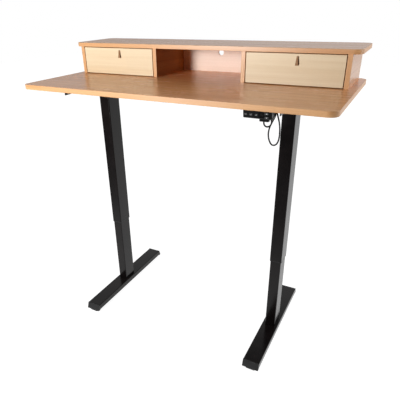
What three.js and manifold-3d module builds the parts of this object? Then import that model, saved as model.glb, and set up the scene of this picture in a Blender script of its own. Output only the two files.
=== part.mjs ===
// Height-adjustable computer desk with a drawer riser. Millimetres, +Z up, front towards -Y.
// The origin is on the floor, midway between the ends and between the front and rear edges.
import * as THREE from 'three';
import Module from 'manifold-3d';

const wasm = await Module();
wasm.setup();

// Worktop
const DESK_WIDTH = 1200;
const DESK_DEPTH = 600;
const DESK_THICK = 18;
const DESK_TOP = 1058;
const CORNER_RADIUS = 30;

// Riser
const BOARD_THICK = 16;
const RISER_HEIGHT = 127;
const RISER_FRONT = 38;
const UPRIGHT_FRONT = 41;
const UPRIGHT_BACK = 277;
const RISER_BACK_THICK = 9;
const END_INSET = 29;
const BAY_WIDTH = 355;
const CABLE_HOLE_RADIUS = 12.5;
const CABLE_HOLE_RISE = 79;

// Drawers
const FRONT_GAP = 2.5;
const FRONT_THICK = 14;
const SIDE_THICK = 12;
const SIDE_GAP = 6.5;
const SIDE_LENGTH = 208;
const SIDE_RISE = 10;
const SIDE_HEIGHT = 84;
const BOTTOM_THICK = 4;
const BOTTOM_RISE = 6;
const BOTTOM_GROOVE = 5;
const RUNNER_DEPTH = 12;
const RUNNER_HEIGHT = 10;
const RUNNER_RISE = 42;
const RUNNER_INSET = 18;
const RUNNER_LENGTH = 206;
const RUNNER_PLAY = 0.5;
const TAB_NECK = 5;
const TAB_WIDTH = 11;
const TAB_LENGTH = 31;
const TAB_THICK = 2.2;
const TAB_DROP = 8;
const TAB_REACH = 7;
const TAB_SHIFT = 13;

// Columns
const COLUMN_X = 401.5;
const COLUMN_Y = -12;
const OUTER_WIDTH = 49;
const OUTER_DEPTH = 75;
const OUTER_BOTTOM = 370;
const OUTER_RADIUS = 4;
const INNER_WIDTH = 44;
const INNER_DEPTH = 70;
const INNER_RADIUS = 3.5;
const INNER_LENGTH = 618;
const TUBE_WALL = 1.5;
const COLLAR_RIM = 4;
const COLLAR_DEPTH = 40;
const BASE_BLOCK_HEIGHT = 14;

// Drive
const DRIVE_HEIGHT = 47.5;
const DRIVE_WIDTH = 62;
const DRIVE_DEPTH = 84;
const MOTOR_RADIUS = 21;
const MOTOR_LENGTH = 96;
const MOTOR_OVERLAP = 6;
const MOTOR_CHAMFER = 2;
const FLANGE_RADIUS = 23;
const FLANGE_LENGTH = 4;
const RIB_COUNT = 5;
const RIB_START = 52;
const RIB_PITCH = 6;
const RIB_DEPTH = 0.8;
const HOUSING_RADIUS = 3;
const SPINDLE_RADIUS = 8;
const SPINDLE_LENGTH = 596;
const SPINDLE_TOP = 1026;
const SPINDLE_NECK = 6;
const SPINDLE_CHAMFER = 1.5;
const NUT_HEIGHT = 26;

// Feet
const FOOT_TOP = 36;
const FOOT_HEIGHT = 26;
const FOOT_WIDTH = 68;
const FOOT_RADIUS = 3;
const FOOT_FRONT = -286;
const FOOT_LENGTH = 548;
const FOOT_WALL = 2;
const CAP_TOP = 4;
const CAP_SLOPE = 10;
const CAP_LIP = 2;
const PLUG_LENGTH = 16;
const PAD_WIDTH = 40;
const PAD_LENGTH = 34;

// Frame under the worktop
const ARM_FRONT = -250;
const ARM_LENGTH = 490;
const ARM_OUTER = 428.2;
const ARM_WIDTH = 61;
const ARM_DROP = 21;
const ARM_SHEET = 2.5;
const SLOT_INSET = 43.2;
const SLOT_PLACES = [-225, -120, 90, 215];
const SLOT_WIDTH = 5.5;
const SLOT_LENGTH = 14;
const RAIL_HEIGHT = 35;
const RAIL_DEPTH = 20;
const RAIL_WALL = 1.5;
const RAIL_RADIUS = 2;

// Control box
const BOX_LEFT = 170;
const BOX_WIDTH = 140;
const BOX_FRONT = -172;
const BOX_DEPTH = 84;
const BOX_HEIGHT = 28;
const BOX_RADIUS = 4;
const SOCKET_WIDTH = 14;
const SOCKET_HEIGHT = 9;
const SOCKET_DEPTH = 8;
const INLET_WIDTH = 24;
const INLET_HEIGHT = 16;
const INLET_DEPTH = 12;
const SOCKET_PITCH = 30;

// Handset
const HANDSET_LEFT = 326;
const HANDSET_WIDTH = 90;
const HANDSET_FRONT = -298;
const HANDSET_DEPTH = 36;
const HANDSET_HEIGHT = 25;
const HANDSET_LEAN = 3;
const HANDSET_ROUND = 6;
const BUTTON_HEIGHT = 6;
const MEMORY_WIDTH = 9;
const ARROW_WIDTH = 12;
const BUTTON_TRAVEL = 0.8;
const BUTTON_PROUD = 1;
const BUTTON_LENGTH = 5;
const BUTTON_PLAY = 0.3;
const WELL_DEPTH = 8;
const MEMORY_FIRST = 9;
const MEMORY_PITCH = 16.5;
const MEMORY_RISE = 13;
const ARROW_ACROSS = 74;
const ARROW_LOW = 6.5;
const ARROW_HIGH = 18.5;
const WINDOW_LEFT = 50;
const WINDOW_WIDTH = 16;
const WINDOW_RISE = 6;
const WINDOW_HEIGHT = 14;
const WINDOW_DEPTH = 1.6;
const WINDOW_SINK = 0.4;
const BOSS_ACROSS = 49;
const BOSS_WIDTH = 30;
const BOSS_BACK = 8;
const BOSS_DEPTH = 16;
const BOSS_DROP = 7.5;
const BOSS_RADIUS = 4;

// Handset lead
const LEAD_RADIUS = 1.75;
const LEAD_ACROSS = 62;
const LEAD_BACK = 16;
const LEAD_GAP = 0.3;
const LEAD_SIDES = 8;
const LEAD_LOOP_STEPS = 62;
const LEAD_RUN_STEPS = 24;
const CLIP_WIDTH = 14;
const CLIP_LENGTH = 10;
const CLIP_HEIGHT = 11;

// Clearances
const FIT_GAP = 0.3;
const SLIDE_GAP = 0.25;
const CUT_OVERRUN = 2;
const ARC_STEPS = 8;
const ROUND_STEPS = 40;

// Heights and places that follow from the sizes above
const deskUnder = DESK_TOP - DESK_THICK;
const riserTop = DESK_TOP + RISER_HEIGHT;
const bayTop = riserTop - BOARD_THICK;
const frameTop = deskUnder - ARM_SHEET;
const driveBottom = frameTop - DRIVE_HEIGHT;
const innerTop = FOOT_TOP + INNER_LENGTH;
const footBottom = FOOT_TOP - FOOT_HEIGHT;
const footRear = FOOT_FRONT + FOOT_LENGTH;
const endOuter = DESK_WIDTH / 2 - END_INSET;
const endInner = endOuter - BOARD_THICK;
const dividerOuter = endInner - BAY_WIDTH;
const dividerInner = dividerOuter - BOARD_THICK;
const handsetBottom = deskUnder - HANDSET_HEIGHT;

const colours = {
  beech: 0xc79a6b, birch: 0xe6d0ad, edge: 0xd99f63, steel: 0x1b1b1c, zinc: 0xa9abad,
  plastic: 0x232324, nylon: 0x2e2e30, leather: 0x775438, hardboard: 0x9a7a55, button: 0x2c2c2e,
  glass: 0x101012, lead: 0x333335,
};
const finishes = {
  beech: [0.5, 0], birch: [0.5, 0], edge: [0.5, 0], steel: [0.4, 0.4], zinc: [0.35, 0.9], plastic: [0.55, 0],
  nylon: [0.5, 0], leather: [0.7, 0], hardboard: [0.8, 0], button: [0.45, 0], glass: [0.1, 0], lead: [0.6, 0],
};

const part = new THREE.Group();
part.name = 'computer_desk';
const groups = {};

function groupOf(name) {
  if (!groups[name]) {
    groups[name] = new THREE.Group();
    groups[name].name = name;
    part.add(groups[name]);
  }
  return groups[name];
}

function add(group, name, geometry, finish) {
  const [roughness, metalness] = finishes[finish];
  const material = new THREE.MeshStandardMaterial({ color: colours[finish], roughness, metalness });
  material.name = finish;
  const mesh = new THREE.Mesh(geometry, material);
  mesh.name = name;
  groupOf(group).add(mesh);
  return mesh;
}

// Flat outlines and prisms
function arc(cx, cy, radius, from, to, steps) {
  const points = [];
  for (let i = 0; i <= steps; i += 1) {
    const angle = from + ((to - from) * i) / steps;
    points.push([cx + radius * Math.cos(angle), cy + radius * Math.sin(angle)]);
  }
  return points;
}

function roundedBox(x0, x1, y0, y1, radius) {
  const quarter = Math.PI / 2;
  return [
    ...arc(x1 - radius, y0 + radius, radius, -quarter, 0, ARC_STEPS),
    ...arc(x1 - radius, y1 - radius, radius, 0, quarter, ARC_STEPS),
    ...arc(x0 + radius, y1 - radius, radius, quarter, 2 * quarter, ARC_STEPS),
    ...arc(x0 + radius, y0 + radius, radius, 2 * quarter, 3 * quarter, ARC_STEPS),
  ];
}

function prism(outline, depth, holes) {
  const shape = new THREE.Shape(outline.map(([a, b]) => new THREE.Vector2(a, b)));
  for (const hole of holes) {
    shape.holes.push(new THREE.Path(hole.map(([a, b]) => new THREE.Vector2(a, b))));
  }
  return new THREE.ExtrudeGeometry(shape, { depth, bevelEnabled: false, curveSegments: ARC_STEPS });
}

// Outline points are [y, z] for prismX, [x, z] for prismY and [x, y] for prismZ
function prismX(outline, x0, x1, holes = []) {
  const turn = new THREE.Matrix4().makeBasis(
    new THREE.Vector3(0, 1, 0),
    new THREE.Vector3(0, 0, 1),
    new THREE.Vector3(1, 0, 0),
  );
  return prism(outline, x1 - x0, holes).applyMatrix4(turn).translate(x0, 0, 0);
}

function prismY(outline, y0, y1, holes = []) {
  const turn = new THREE.Matrix4().makeBasis(
    new THREE.Vector3(1, 0, 0),
    new THREE.Vector3(0, 0, 1),
    new THREE.Vector3(0, -1, 0),
  );
  return prism(outline, y1 - y0, holes).applyMatrix4(turn).translate(0, y1, 0);
}

function prismZ(outline, z0, z1, holes = []) {
  return prism(outline, z1 - z0, holes).translate(0, 0, z0);
}

function block(x0, x1, y0, y1, z0, z1) {
  const [left, right] = x0 < x1 ? [x0, x1] : [x1, x0];
  return new THREE.BoxGeometry(right - left, y1 - y0, z1 - z0)
    .translate((left + right) / 2, (y0 + y1) / 2, (z0 + z1) / 2);
}

function rod(radius, length) {
  return new THREE.CylinderGeometry(radius, radius, length, ROUND_STEPS).rotateX(Math.PI / 2);
}

// Solids joined and cut
function toSolid(geometry) {
  const plain = geometry.index ? geometry.toNonIndexed() : geometry;
  const position = plain.getAttribute('position');
  const seen = new Map();
  const vertProperties = [];
  const triVerts = [];
  for (let i = 0; i < position.count; i += 1) {
    const corner = [position.getX(i), position.getY(i), position.getZ(i)];
    const key = corner.map((value) => value.toFixed(4)).join();
    if (!seen.has(key)) {
      seen.set(key, seen.size);
      vertProperties.push(...corner);
    }
    triVerts.push(seen.get(key));
  }
  return new wasm.Manifold(new wasm.Mesh({
    numProp: 3,
    vertProperties: new Float32Array(vertProperties),
    triVerts: new Uint32Array(triVerts),
  }));
}

function toGeometry(solid) {
  const mesh = solid.getMesh();
  const geometry = new THREE.BufferGeometry();
  geometry.setAttribute('position', new THREE.Float32BufferAttribute(mesh.vertProperties, 3));
  geometry.setIndex([...mesh.triVerts]);
  const flat = geometry.toNonIndexed();
  flat.computeVertexNormals();
  return flat;
}

function combine(base, joined, cuts) {
  let solid = toSolid(base);
  for (const piece of joined) {
    solid = solid.add(toSolid(piece));
  }
  for (const piece of cuts) {
    solid = solid.subtract(toSolid(piece));
  }
  return toGeometry(solid);
}

// Worktop and riser
const halfWidth = DESK_WIDTH / 2;
const halfDepth = DESK_DEPTH / 2;
add('worktop', 'worktop', prismZ(
  roundedBox(-halfWidth, halfWidth, -halfDepth, halfDepth, CORNER_RADIUS),
  deskUnder,
  DESK_TOP,
), 'beech');
add('riser', 'riser_top', prismZ(
  roundedBox(-halfWidth, halfWidth, RISER_FRONT, halfDepth, CORNER_RADIUS),
  bayTop,
  riserTop,
), 'beech');
add('riser', 'riser_back', prismY(
  [[-endOuter, DESK_TOP], [endOuter, DESK_TOP], [endOuter, bayTop], [-endOuter, bayTop]],
  UPRIGHT_BACK,
  UPRIGHT_BACK + RISER_BACK_THICK,
  [arc(0, DESK_TOP + CABLE_HOLE_RISE, CABLE_HOLE_RADIUS, 0, 2 * Math.PI, ROUND_STEPS).slice(0, -1)],
), 'birch');
for (const [side, way] of [['left', -1], ['right', 1]]) {
  for (const [kind, inner] of [['end', endInner], ['divider', dividerInner]]) {
    add('riser', `riser_${kind}_${side}`, block(
      way * inner,
      way * (inner + BOARD_THICK),
      UPRIGHT_FRONT,
      UPRIGHT_BACK,
      DESK_TOP,
      bayTop,
    ), 'beech');
  }
}

// Drawers: boards, grooved sides and the strips they slide on
const frontWidth = BAY_WIDTH - 2 * FRONT_GAP;
const frontBottom = DESK_TOP + FRONT_GAP;
const frontTop = bayTop - FRONT_GAP;
const sideFront = UPRIGHT_FRONT + FRONT_THICK;
const sideBack = sideFront + SIDE_LENGTH;
const sideBottom = DESK_TOP + SIDE_RISE;
const sideTop = sideBottom + SIDE_HEIGHT;
const boardBottom = sideBottom + BOTTOM_RISE;
const boardTop = boardBottom + BOTTOM_THICK;
const runnerBottom = DESK_TOP + RUNNER_RISE;
const sideOuter = BAY_WIDTH / 2 - SIDE_GAP;
const sideInner = sideOuter - SIDE_THICK;
const grooveFloor = BAY_WIDTH / 2 - RUNNER_DEPTH - RUNNER_PLAY;

function drawerSide(cx, way) {
  const grooveLow = runnerBottom - RUNNER_PLAY;
  const grooveHigh = runnerBottom + RUNNER_HEIGHT + RUNNER_PLAY;
  const slotLow = boardBottom - FIT_GAP;
  const slotHigh = boardTop + FIT_GAP;
  const slotFloor = sideInner + BOTTOM_GROOVE;
  const outline = [
    [sideInner, sideBottom], [sideOuter, sideBottom], [sideOuter, grooveLow], [grooveFloor, grooveLow],
    [grooveFloor, grooveHigh], [sideOuter, grooveHigh], [sideOuter, sideTop], [sideInner, sideTop],
    [sideInner, slotHigh], [slotFloor, slotHigh], [slotFloor, slotLow], [sideInner, slotLow],
  ].map(([x, z]) => [cx + way * x, z]);
  return prismY(way > 0 ? outline : outline.reverse(), sideFront, sideBack);
}

// A folded strip: narrow and flat on the drawer front at its neck, wider and standing off it below
function tabPull() {
  const top = frontTop - TAB_DROP;
  const bottom = top - TAB_LENGTH;
  const fold = TAB_REACH / 2;
  const bend = (angle, radius) => [
    UPRIGHT_FRONT - fold - radius * Math.cos(angle),
    bottom + fold - radius * Math.sin(angle),
  ];
  const outside = [];
  const inside = [];
  for (let i = 0; i <= ARC_STEPS; i += 1) {
    const angle = (Math.PI * i) / ARC_STEPS;
    outside.push(bend(angle, fold));
    inside.push(bend(angle, fold - TAB_THICK));
  }
  const crown = UPRIGHT_FRONT - 2 * TAB_THICK;
  return {
    outline: [[UPRIGHT_FRONT, top], [crown, top], ...outside],
    hole: [[UPRIGHT_FRONT - TAB_THICK, top - TAB_LENGTH / 4], ...inside],
    top,
    bottom,
  };
}

function tabTrim(tabX, way, top, bottom) {
  const neck = tabX + (way * TAB_NECK) / 2;
  const foot = tabX + (way * TAB_WIDTH) / 2;
  const outer = foot + way * CUT_OVERRUN;
  const high = top + CUT_OVERRUN;
  const outline = [[neck, top], [foot, bottom], [outer, bottom], [outer, high], [neck, high]];
  return prismY(
    way > 0 ? outline : outline.reverse(),
    UPRIGHT_FRONT - TAB_REACH - CUT_OVERRUN,
    UPRIGHT_FRONT + CUT_OVERRUN,
  );
}

for (const [side, way] of [['left', -1], ['right', 1]]) {
  const group = `drawer_${side}`;
  const cx = way * (dividerOuter + BAY_WIDTH / 2);
  add(group, `drawer_front_${side}`, block(
    cx - frontWidth / 2,
    cx + frontWidth / 2,
    UPRIGHT_FRONT,
    sideFront,
    frontBottom,
    frontTop,
  ), 'birch');
  for (const [hand, turn] of [['a', -1], ['b', 1]]) {
    add(group, `drawer_side_${side}_${hand}`, drawerSide(cx, turn), 'birch');
    const wall = cx + (turn * BAY_WIDTH) / 2;
    add('riser', `runner_${side}_${hand}`, block(
      wall,
      wall - turn * RUNNER_DEPTH,
      UPRIGHT_FRONT + RUNNER_INSET,
      UPRIGHT_FRONT + RUNNER_INSET + RUNNER_LENGTH,
      runnerBottom,
      runnerBottom + RUNNER_HEIGHT,
    ), 'nylon');
  }
  add(group, `drawer_bottom_${side}`, block(
    cx - sideInner - BOTTOM_GROOVE + FIT_GAP,
    cx + sideInner + BOTTOM_GROOVE - FIT_GAP,
    sideFront,
    sideBack,
    boardBottom,
    boardTop,
  ), 'hardboard');
  add(group, `drawer_back_${side}`, block(
    cx - sideInner,
    cx + sideInner,
    sideBack - SIDE_THICK,
    sideBack,
    boardTop,
    sideTop - BOTTOM_RISE,
  ), 'birch');
  const tab = tabPull();
  const tabX = cx + TAB_SHIFT;
  const strip = prismX(tab.outline.reverse(), tabX - TAB_WIDTH / 2, tabX + TAB_WIDTH / 2, [tab.hole]);
  const trims = [-1, 1].map((turn) => tabTrim(tabX, turn, tab.top, tab.bottom));
  add(group, `drawer_tab_${side}`, combine(strip, [], trims), 'leather');
}

// Columns, drives and feet
function tube(x0, x1, y0, y1, radius, wall, z0, z1) {
  return prismZ(roundedBox(x0, x1, y0, y1, radius), z0, z1, [
    roundedBox(x0 + wall, x1 - wall, y0 + wall, y1 - wall, radius - wall).reverse(),
  ]);
}

function centred(cx, cy, width, depth) {
  return [cx - width / 2, cx + width / 2, cy - depth / 2, cy + depth / 2];
}

function collar(cx) {
  const mouthWidth = OUTER_WIDTH - 2 * TUBE_WALL;
  const mouthDepth = OUTER_DEPTH - 2 * TUBE_WALL;
  const rim = centred(cx, COLUMN_Y, OUTER_WIDTH, OUTER_DEPTH);
  const skirt = centred(cx, COLUMN_Y, mouthWidth - 2 * SLIDE_GAP, mouthDepth - 2 * SLIDE_GAP);
  const bore = centred(cx, COLUMN_Y, INNER_WIDTH + 2 * SLIDE_GAP, INNER_DEPTH + 2 * SLIDE_GAP);
  const boreRadius = INNER_RADIUS + SLIDE_GAP;
  const skirtTop = OUTER_BOTTOM + COLLAR_RIM + COLLAR_DEPTH;
  return combine(
    prismZ(roundedBox(...rim, OUTER_RADIUS), OUTER_BOTTOM, OUTER_BOTTOM + COLLAR_RIM),
    [prismZ(roundedBox(...skirt, OUTER_RADIUS - TUBE_WALL), OUTER_BOTTOM, skirtTop)],
    [prismZ(roundedBox(...bore, boreRadius), OUTER_BOTTOM - CUT_OVERRUN, skirtTop + CUT_OVERRUN)],
  );
}

function spindle(cx) {
  const top = SPINDLE_TOP;
  const bottom = top - SPINDLE_LENGTH;
  const points = [
    [0, bottom], [SPINDLE_NECK, bottom], [SPINDLE_RADIUS, bottom + SPINDLE_CHAMFER],
    [SPINDLE_RADIUS, driveBottom - SPINDLE_CHAMFER], [SPINDLE_NECK, driveBottom],
    [SPINDLE_NECK, top], [0, top],
  ].map(([r, z]) => new THREE.Vector2(r, z));
  return new THREE.LatheGeometry(points, ROUND_STEPS).rotateX(Math.PI / 2).translate(cx, COLUMN_Y, 0);
}

// Motor can along X: a flange on the gearbox, ribs near the far end and a chamfered end
function motorCan(inner, way) {
  const points = [
    [0, -MOTOR_OVERLAP], [FLANGE_RADIUS, -MOTOR_OVERLAP],
    [FLANGE_RADIUS, FLANGE_LENGTH], [MOTOR_RADIUS, FLANGE_LENGTH],
  ];
  for (let i = 0; i < RIB_COUNT; i += 1) {
    const start = RIB_START + i * RIB_PITCH;
    const end = start + RIB_PITCH / 2;
    points.push(
      [MOTOR_RADIUS, start],
      [MOTOR_RADIUS - RIB_DEPTH, start],
      [MOTOR_RADIUS - RIB_DEPTH, end],
      [MOTOR_RADIUS, end],
    );
  }
  points.push(
    [MOTOR_RADIUS, MOTOR_LENGTH - MOTOR_CHAMFER],
    [MOTOR_RADIUS - MOTOR_CHAMFER, MOTOR_LENGTH],
    [0, MOTOR_LENGTH],
  );
  const profile = points.map(([radius, along]) => new THREE.Vector2(radius, along));
  return new THREE.LatheGeometry(profile, ROUND_STEPS)
    .rotateZ((-way * Math.PI) / 2)
    .translate(inner, COLUMN_Y, driveBottom + DRIVE_HEIGHT / 2);
}

function drive(cx, way) {
  const outer = way * (ARM_OUTER - ARM_SHEET - FIT_GAP);
  const inner = outer - way * DRIVE_WIDTH;
  const [left, right] = [outer, inner].sort((a, b) => a - b);
  const gearbox = prismY(
    roundedBox(left, right, driveBottom, frameTop, HOUSING_RADIUS),
    COLUMN_Y - DRIVE_DEPTH / 2,
    COLUMN_Y + DRIVE_DEPTH / 2,
  );
  const boreTop = SPINDLE_TOP + SPINDLE_CHAMFER;
  const boreLength = boreTop - driveBottom + CUT_OVERRUN;
  const bore = rod(SPINDLE_NECK + SLIDE_GAP, boreLength).translate(cx, COLUMN_Y, boreTop - boreLength / 2);
  return combine(gearbox, [motorCan(inner, -way)], [bore]);
}

function nut(cx) {
  const width = INNER_WIDTH - 2 * TUBE_WALL - 2 * FIT_GAP;
  const depth = INNER_DEPTH - 2 * TUBE_WALL - 2 * FIT_GAP;
  const outline = roundedBox(...centred(cx, COLUMN_Y, width, depth), INNER_RADIUS - TUBE_WALL);
  const bore = arc(cx, COLUMN_Y, SPINDLE_RADIUS + FIT_GAP, 0, 2 * Math.PI, ROUND_STEPS).slice(0, -1);
  return prismZ(outline, innerTop - NUT_HEIGHT, innerTop, [bore.reverse()]);
}

// Slots let the screws find the worktop's own holes
function screwSlot(way, y) {
  const x = way * (ARM_OUTER - SLOT_INSET);
  const radius = SLOT_WIDTH / 2;
  const reach = SLOT_LENGTH / 2 - radius;
  const outline = [
    ...arc(x, y + reach, radius, 0, Math.PI, ARC_STEPS),
    ...arc(x, y - reach, radius, Math.PI, 2 * Math.PI, ARC_STEPS),
  ];
  return prismZ(outline, frameTop - CUT_OVERRUN, deskUnder + CUT_OVERRUN);
}

function endCap(cx, way) {
  const end = way > 0 ? footRear : FOOT_FRONT;
  const left = cx - FOOT_WIDTH / 2;
  const right = cx + FOOT_WIDTH / 2;
  const low = footBottom - CAP_LIP;
  const face = [
    [end, FOOT_TOP], [end + way * CAP_TOP, FOOT_TOP],
    [end + way * (CAP_TOP + CAP_SLOPE), low], [end, low],
  ];
  const wedge = prismX(way > 0 ? face.reverse() : face, left, right);
  const inset = FOOT_WALL + FIT_GAP;
  const [plugA, plugB] = [end + way * CAP_TOP / 2, end - way * PLUG_LENGTH].sort((a, b) => a - b);
  const plug = block(left + inset, right - inset, plugA, plugB, footBottom + inset, FOOT_TOP - inset);
  const [padA, padB] = [end + way * CAP_SLOPE, end + way * (CAP_SLOPE - PAD_LENGTH)].sort((a, b) => a - b);
  const pad = block(cx - PAD_WIDTH / 2, cx + PAD_WIDTH / 2, padA, padB, 0, footBottom - FIT_GAP);
  return combine(wedge, [plug, pad], []);
}

for (const [side, way] of [['left', -1], ['right', 1]]) {
  const cx = way * COLUMN_X;
  add('frame', `outer_tube_${side}`, tube(
    ...centred(cx, COLUMN_Y, OUTER_WIDTH, OUTER_DEPTH),
    OUTER_RADIUS,
    TUBE_WALL,
    OUTER_BOTTOM + COLLAR_RIM,
    driveBottom,
  ), 'steel');
  add('frame', `guide_collar_${side}`, collar(cx), 'nylon');
  add('frame', `drive_${side}`, drive(cx, way), 'plastic');
  add('frame', `spindle_${side}`, spindle(cx), 'zinc');
  const arm = [
    [ARM_OUTER - ARM_WIDTH, frameTop], [ARM_OUTER - ARM_SHEET, frameTop],
    [ARM_OUTER - ARM_SHEET, deskUnder - ARM_DROP], [ARM_OUTER, deskUnder - ARM_DROP],
    [ARM_OUTER, deskUnder], [ARM_OUTER - ARM_WIDTH, deskUnder],
  ].map(([x, z]) => [way * x, z]);
  const angle = prismY(way > 0 ? arm : arm.reverse(), ARM_FRONT, ARM_FRONT + ARM_LENGTH);
  add('frame', `side_arm_${side}`, combine(angle, [], SLOT_PLACES.map((y) => screwSlot(way, y))), 'steel');
  const leg = `leg_${side}`;
  add(leg, `inner_tube_${side}`, tube(
    ...centred(cx, COLUMN_Y, INNER_WIDTH, INNER_DEPTH),
    INNER_RADIUS,
    TUBE_WALL,
    FOOT_TOP,
    innerTop,
  ), 'steel');
  add(leg, `spindle_nut_${side}`, nut(cx), 'nylon');
  add(leg, `base_block_${side}`, prismZ(roundedBox(
    ...centred(
      cx,
      COLUMN_Y,
      INNER_WIDTH - 2 * TUBE_WALL - 2 * FIT_GAP,
      INNER_DEPTH - 2 * TUBE_WALL - 2 * FIT_GAP,
    ),
    INNER_RADIUS - TUBE_WALL,
  ), FOOT_TOP, FOOT_TOP + BASE_BLOCK_HEIGHT), 'steel');
  const footX = [cx - FOOT_WIDTH / 2, cx + FOOT_WIDTH / 2];
  add(leg, `foot_${side}`, prismY(
    roundedBox(...footX, footBottom, FOOT_TOP, FOOT_RADIUS),
    FOOT_FRONT,
    footRear,
    [roundedBox(
      footX[0] + FOOT_WALL,
      footX[1] - FOOT_WALL,
      footBottom + FOOT_WALL,
      FOOT_TOP - FOOT_WALL,
      FOOT_RADIUS - FOOT_WALL,
    ).reverse()],
  ), 'steel');
  for (const [end, turn] of [['front', -1], ['rear', 1]]) {
    add(leg, `foot_cap_${side}_${end}`, endCap(cx, turn), 'plastic');
  }
}

// Cross rails, one in front of the drives and one behind them
const railEnd = ARM_OUTER - ARM_SHEET - FIT_GAP;
for (const [place, way] of [['front', -1], ['rear', 1]]) {
  const near = COLUMN_Y + (way * DRIVE_DEPTH) / 2;
  const [y0, y1] = [near, near + way * RAIL_DEPTH].sort((a, b) => a - b);
  add('frame', `cross_rail_${place}`, prismX(
    roundedBox(y0, y1, frameTop - RAIL_HEIGHT, frameTop, RAIL_RADIUS),
    -railEnd,
    railEnd,
    [roundedBox(
      y0 + RAIL_WALL,
      y1 - RAIL_WALL,
      frameTop - RAIL_HEIGHT + RAIL_WALL,
      frameTop - RAIL_WALL,
      RAIL_RADIUS - RAIL_WALL,
    ).reverse()],
  ), 'steel');
}

// Control box with its sockets
const boxBottom = deskUnder - BOX_HEIGHT;
const boxMiddle = boxBottom + BOX_HEIGHT / 2;
const boxRight = BOX_LEFT + BOX_WIDTH;
const boxBack = BOX_FRONT + BOX_DEPTH;
const leadSocketY = BOX_FRONT + SOCKET_PITCH;
const socketCuts = [block(
  boxRight - SOCKET_DEPTH,
  boxRight + CUT_OVERRUN,
  leadSocketY - SOCKET_WIDTH / 2,
  leadSocketY + SOCKET_WIDTH / 2,
  boxMiddle - SOCKET_HEIGHT / 2,
  boxMiddle + SOCKET_HEIGHT / 2,
), block(
  BOX_LEFT - CUT_OVERRUN,
  BOX_LEFT + INLET_DEPTH,
  BOX_FRONT + BOX_DEPTH / 2 - INLET_WIDTH / 2,
  BOX_FRONT + BOX_DEPTH / 2 + INLET_WIDTH / 2,
  boxMiddle - INLET_HEIGHT / 2,
  boxMiddle + INLET_HEIGHT / 2,
)];
for (const step of [1, 2]) {
  const x = boxRight - step * SOCKET_PITCH;
  socketCuts.push(block(
    x - SOCKET_WIDTH / 2,
    x + SOCKET_WIDTH / 2,
    boxBack - SOCKET_DEPTH,
    boxBack + CUT_OVERRUN,
    boxMiddle - SOCKET_HEIGHT / 2,
    boxMiddle + SOCKET_HEIGHT / 2,
  ));
}
add('frame', 'control_box', combine(
  prismZ(roundedBox(BOX_LEFT, boxRight, BOX_FRONT, boxBack, BOX_RADIUS), boxBottom, deskUnder),
  [],
  socketCuts,
), 'plastic');

// Handset with a leaning front face, wells for the buttons and a boss for the lead under it
const handsetRight = HANDSET_LEFT + HANDSET_WIDTH;
const handsetBack = HANDSET_FRONT + HANDSET_DEPTH;
const bossBottom = handsetBottom - BOSS_DROP;
const bossTop = handsetBottom + HANDSET_ROUND;
const bossBox = [
  HANDSET_LEFT + BOSS_ACROSS,
  HANDSET_LEFT + BOSS_ACROSS + BOSS_WIDTH,
  HANDSET_FRONT + BOSS_BACK,
  HANDSET_FRONT + BOSS_BACK + BOSS_DEPTH,
];
const buttons = [0, 1, 2].map((index) => ({
  name: `button_memory_${index + 1}`,
  x: HANDSET_LEFT + MEMORY_FIRST + index * MEMORY_PITCH,
  z: handsetBottom + MEMORY_RISE,
  width: MEMORY_WIDTH,
}));
for (const [name, rise] of [['button_up', ARROW_HIGH], ['button_down', ARROW_LOW]]) {
  buttons.push({ name, x: HANDSET_LEFT + ARROW_ACROSS, z: handsetBottom + rise, width: ARROW_WIDTH });
}

function frontAt(z) {
  return HANDSET_FRONT + (HANDSET_LEAN * (deskUnder - z)) / HANDSET_HEIGHT;
}

const handsetFace = [
  [HANDSET_FRONT, deskUnder],
  ...arc(
    HANDSET_FRONT + HANDSET_LEAN + HANDSET_ROUND,
    handsetBottom + HANDSET_ROUND,
    HANDSET_ROUND,
    Math.PI,
    Math.PI * 1.5,
    ARC_STEPS,
  ),
  ...arc(
    handsetBack - HANDSET_ROUND,
    handsetBottom + HANDSET_ROUND,
    HANDSET_ROUND,
    Math.PI * 1.5,
    Math.PI * 2,
    ARC_STEPS,
  ),
  [handsetBack, deskUnder],
];
const handsetCuts = buttons.map((button) => block(
  button.x - button.width / 2 - BUTTON_PLAY,
  button.x + button.width / 2 + BUTTON_PLAY,
  HANDSET_FRONT - CUT_OVERRUN,
  frontAt(button.z) + WELL_DEPTH,
  button.z - BUTTON_HEIGHT / 2 - BUTTON_PLAY,
  button.z + BUTTON_HEIGHT / 2 + BUTTON_PLAY,
));
const windowBottom = handsetBottom + WINDOW_RISE;
const windowFront = frontAt(windowBottom) + WINDOW_SINK;
const windowBox = [HANDSET_LEFT + WINDOW_LEFT, HANDSET_LEFT + WINDOW_LEFT + WINDOW_WIDTH];
handsetCuts.push(block(
  windowBox[0] - FIT_GAP,
  windowBox[1] + FIT_GAP,
  HANDSET_FRONT - CUT_OVERRUN,
  windowFront + WINDOW_DEPTH,
  windowBottom - FIT_GAP,
  windowBottom + WINDOW_HEIGHT + FIT_GAP,
));
const boss = prismZ(roundedBox(...bossBox, BOSS_RADIUS), bossBottom, bossTop);
const housing = prismX(handsetFace, HANDSET_LEFT, handsetRight);
add('frame', 'handset', combine(housing, [boss], handsetCuts), 'plastic');
add('frame', 'handset_window', block(
  ...windowBox,
  windowFront,
  windowFront + WINDOW_DEPTH,
  windowBottom,
  windowBottom + WINDOW_HEIGHT,
), 'glass');
for (const button of buttons) {
  const front = frontAt(button.z) - BUTTON_PROUD;
  add('buttons', button.name, block(
    button.x - button.width / 2,
    button.x + button.width / 2,
    front,
    front + BUTTON_PROUD + BUTTON_LENGTH,
    button.z - BUTTON_HEIGHT / 2,
    button.z + BUTTON_HEIGHT / 2,
  ), 'button');
}

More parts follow.
